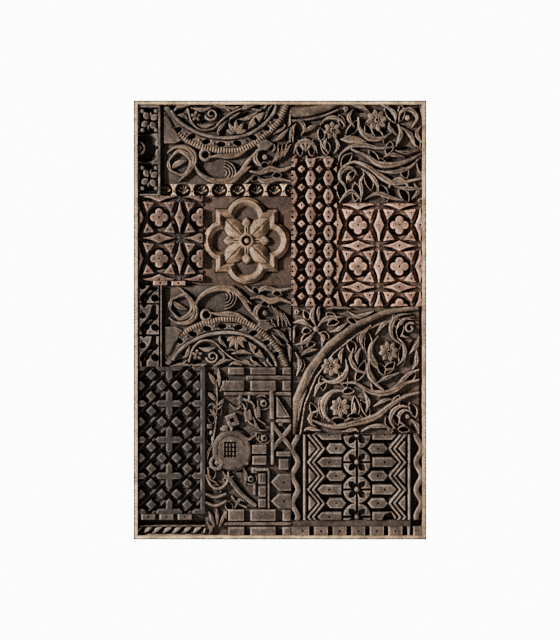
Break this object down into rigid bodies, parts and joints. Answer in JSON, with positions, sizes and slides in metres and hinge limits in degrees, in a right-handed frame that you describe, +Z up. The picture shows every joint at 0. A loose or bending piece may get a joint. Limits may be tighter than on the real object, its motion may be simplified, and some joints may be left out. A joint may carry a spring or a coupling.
{
  "type": "carved wood block wall panel",
  "caption": "Framed rectangular wall panel pieced together from old carved wooden blocks with vines, lattices, flowers and houses in deep relief",
  "frame": {"origin": "centre of the back face, where the panel lies against the wall", "axes": "+Z up along the panel's height, +Y into the wall out of the back face, -Y is the carved front, +X to the viewer's right"},
  "size_m": [0.8, 0.052, 1.2],
  "materials": {
    "board_wood": "dark stained board",
    "frame_wood": "bare pale lath, brown at its outer edge",
    "light_wood": "worn pale tops over dark grounds",
    "red_wood": "worn reddish tops over dark grounds",
    "dark_wood": "dark worn tops over near-black grounds"
  },
  "bodies": {
    "root": {"backing_board": "board_wood", "frame_left": "frame_wood", "frame_right": "frame_wood", "frame_top": "frame_wood", "frame_bottom": "frame_wood", "flower_strip": "red_wood", "upper_arch_block": "dark_wood", "scallop_strip": "light_wood", "left_lattice_block": "red_wood", "upper_tile_strip": "red_wood", "quatrefoil_block": "red_wood", "vine_block": "dark_wood", "hexagon_block": "red_wood", "right_lattice_block": "red_wood", "leaf_strip": "red_wood", "lower_arch_block": "dark_wood", "peg_block": "dark_wood", "lower_tile_strip": "red_wood", "rope_strip": "dark_wood", "village_block": "dark_wood", "large_vine_block": "dark_wood", "roundel_block": "dark_wood", "plain_strip": "light_wood", "dentil_strip": "dark_wood"}
  },
  "joints": []
}
